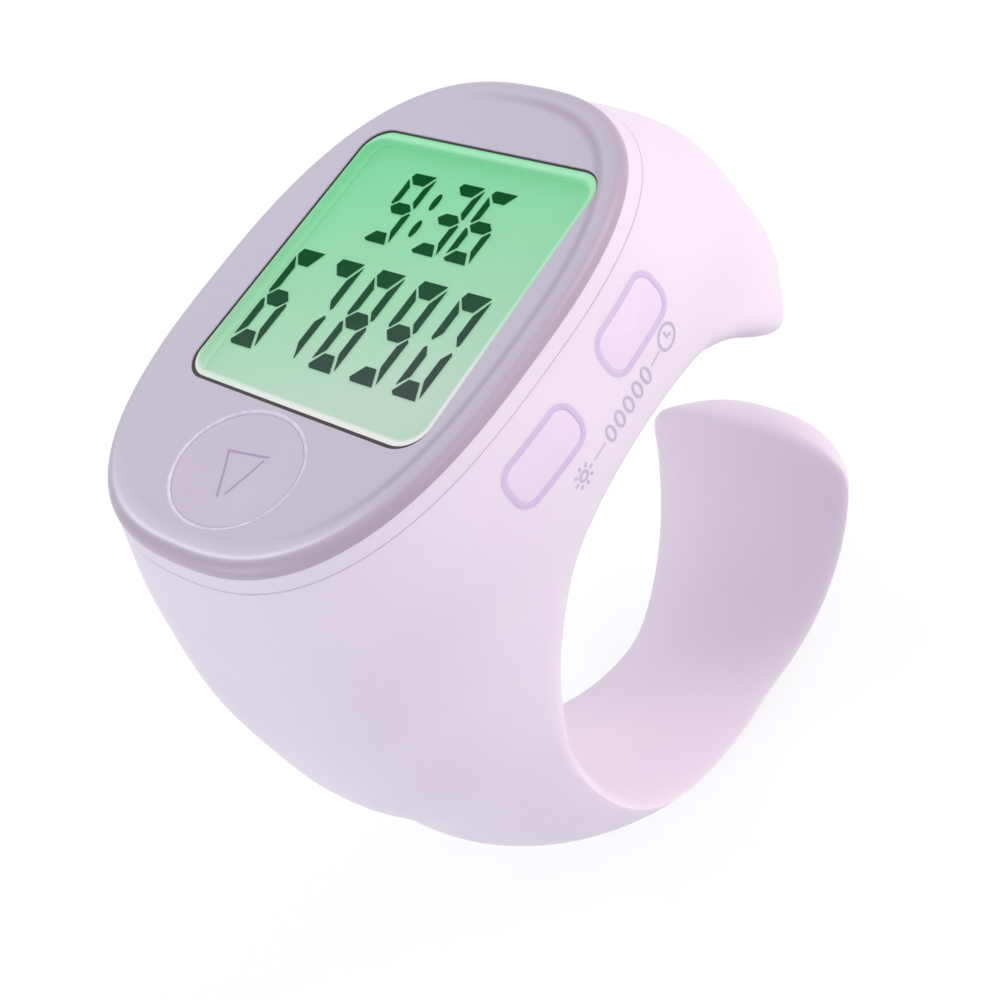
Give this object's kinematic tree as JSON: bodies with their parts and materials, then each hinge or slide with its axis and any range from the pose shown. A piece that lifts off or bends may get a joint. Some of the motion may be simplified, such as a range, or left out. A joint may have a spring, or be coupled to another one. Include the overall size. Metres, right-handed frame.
{
  "type": "finger tally counter",
  "caption": "Electronic tally counter worn on the finger: an open C-shaped ring that swells into a head with a small display, a count button and two side keys.",
  "frame": {"origin": "centre of the finger hole", "axes": "+X along the face from the count button towards the nose of the head, +Y along the finger away from the side with the two keys, +Z from the finger hole out of the face"},
  "size_m": [0.0299, 0.0184, 0.0314],
  "materials": {
    "shell": "smooth satin",
    "face": "smooth satin",
    "window": "clear polished plastic",
    "display_glass": "polished",
    "display_dark": "dark liquid-crystal strokes",
    "light_guide": "clear diffusing plastic",
    "inner_plastic": "white moulded",
    "elastomer": "layered silicone",
    "board": "lacquered fibreglass",
    "component_black": "moulded",
    "ceramic": "fired",
    "button": "smooth satin",
    "key": "smooth satin",
    "steel": "plated",
    "contact_metal": "plated spring metal"
  },
  "bodies": {
    "counter": {"ring_body": "shell", "head_frame": "shell", "face_plate": "face", "display_window": "window", "lcd_front_glass": "display_glass", "lcd_rear_glass": "display_glass", "lcd_segments": "display_dark", "light_guide": "light_guide", "lcd_holder": "inner_plastic", "elastomer_connector": "elastomer", "circuit_board": "board", "controller_chip": "component_black", "clock_crystal": "steel", "capacitor_1": "ceramic", "capacitor_2": "ceramic", "capacitor_3": "ceramic", "capacitor_4": "ceramic", "backlight_led_1": "inner_plastic", "backlight_led_2": "inner_plastic", "count_switch_case": "component_black", "clock_switch_case": "component_black", "set_switch_case": "component_black", "coin_cell": "steel", "positive_contact": "contact_metal", "negative_contact": "contact_metal", "battery_door": "shell", "door_screw_1": "steel", "door_screw_2": "steel", "board_screw_1": "steel", "board_screw_2": "steel", "board_screw_3": "steel"},
    "count_button": {"count_button": "button", "count_switch_plunger": "inner_plastic"},
    "clock_key": {"clock_key": "key", "clock_switch_plunger": "inner_plastic"},
    "set_key": {"set_key": "key", "set_switch_plunger": "inner_plastic"}
  },
  "joints": [
    {"name": "count_press", "type": "slide", "parent": "counter", "child": "count_button", "axis": [0, 0, -1], "range_m": [0, 0.0004], "stiffness_N_per_m": 500, "springref_m": -0.0003},
    {"name": "clock_press", "type": "slide", "parent": "counter", "child": "clock_key", "axis": [0, 1, 0], "range_m": [0, 0.0003], "stiffness_N_per_m": 500, "springref_m": -0.0003},
    {"name": "set_press", "type": "slide", "parent": "counter", "child": "set_key", "axis": [0, 1, 0], "range_m": [0, 0.0003], "stiffness_N_per_m": 500, "springref_m": -0.0003}
  ]
}
